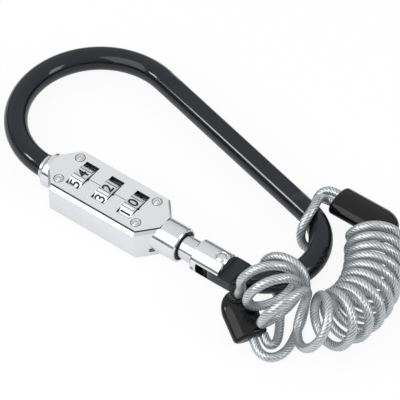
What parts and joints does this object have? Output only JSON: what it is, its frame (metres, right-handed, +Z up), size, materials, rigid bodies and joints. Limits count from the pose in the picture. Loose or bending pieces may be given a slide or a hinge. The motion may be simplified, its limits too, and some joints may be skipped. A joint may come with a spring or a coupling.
{
  "type": "combination cable lock",
  "caption": "Carabiner-type hook closed by a combination barrel on a hinged gate, with a self-coiling coated steel cable looped round the hook",
  "frame": {"origin": "On the flat surface the lock lies on, below the middle of the plan outline of the hook and barrel.", "axes": "+X runs along the lock barrel from the hook's nose towards the hinge and the coiled cable, +Y from the barrel towards the straight back of the hook, +Z up, away from the surface and out of the numbered face."},
  "size_m": [0.1842, 0.0918, 0.0332],
  "materials": {
    "coated_rod": "glossy black coating on steel rod",
    "chromed_zinc": "bright chrome on die-cast zinc",
    "chromed_steel": "bright chrome on turned steel",
    "chromed_plate": "satin to bright chromed plate",
    "plain_steel": "turned bare steel",
    "spring_steel": "rolled spring steel",
    "black_bush": "moulded black plastic",
    "dial_metal": "satin chromed dials with filled black numbers",
    "sleeve_brass": "turned brass",
    "cable_coating": "clear vinyl coating over twisted steel strands",
    "ferrule_black": "glossy black moulded sleeve"
  },
  "bodies": {
    "hook": {"hook_rod": "coated_rod", "nose_collar": "chromed_steel", "nose_pin": "plain_steel", "cable_coil": "cable_coating", "cable_eye_1": "cable_coating", "cable_eye_2": "cable_coating", "ferrule_1": "ferrule_black", "ferrule_2": "ferrule_black"},
    "gate": {"hinge_block": "chromed_zinc", "hinge_rivet": "chromed_steel", "spindle": "chromed_steel", "cross_pin": "plain_steel"},
    "barrel": {"housing": "chromed_zinc", "face_plate": "chromed_plate", "plate_rivets": "chromed_steel", "detent_spring": "spring_steel", "guide_pin": "plain_steel", "neck_bush": "black_bush"},
    "dial_one": {"dial_1": "dial_metal", "sleeve_1": "sleeve_brass"},
    "dial_two": {"dial_2": "dial_metal", "sleeve_2": "sleeve_brass"},
    "dial_three": {"dial_3": "dial_metal", "sleeve_3": "sleeve_brass"}
  },
  "joints": [
    {"name": "gate_swing", "type": "hinge", "parent": "hook", "child": "gate", "pos_m": [0.04505, -0.0284, 0.00843], "axis": [0, 0, 1], "range_deg": [0, 90]},
    {"name": "barrel_slide", "type": "slide", "parent": "gate", "child": "barrel", "axis": [1, 0, 0], "range_m": [0, 0.0065]},
    {"name": "dial_1_turn", "type": "hinge", "parent": "barrel", "child": "dial_one", "pos_m": [-0.02055, -0.0284, 0.00843], "axis": [1, 0, 0], "continuous": true},
    {"name": "dial_2_turn", "type": "hinge", "parent": "barrel", "child": "dial_two", "pos_m": [-0.00845, -0.0284, 0.00843], "axis": [1, 0, 0], "continuous": true},
    {"name": "dial_3_turn", "type": "hinge", "parent": "barrel", "child": "dial_three", "pos_m": [0.00365, -0.0284, 0.00843], "axis": [1, 0, 0], "continuous": true}
  ]
}
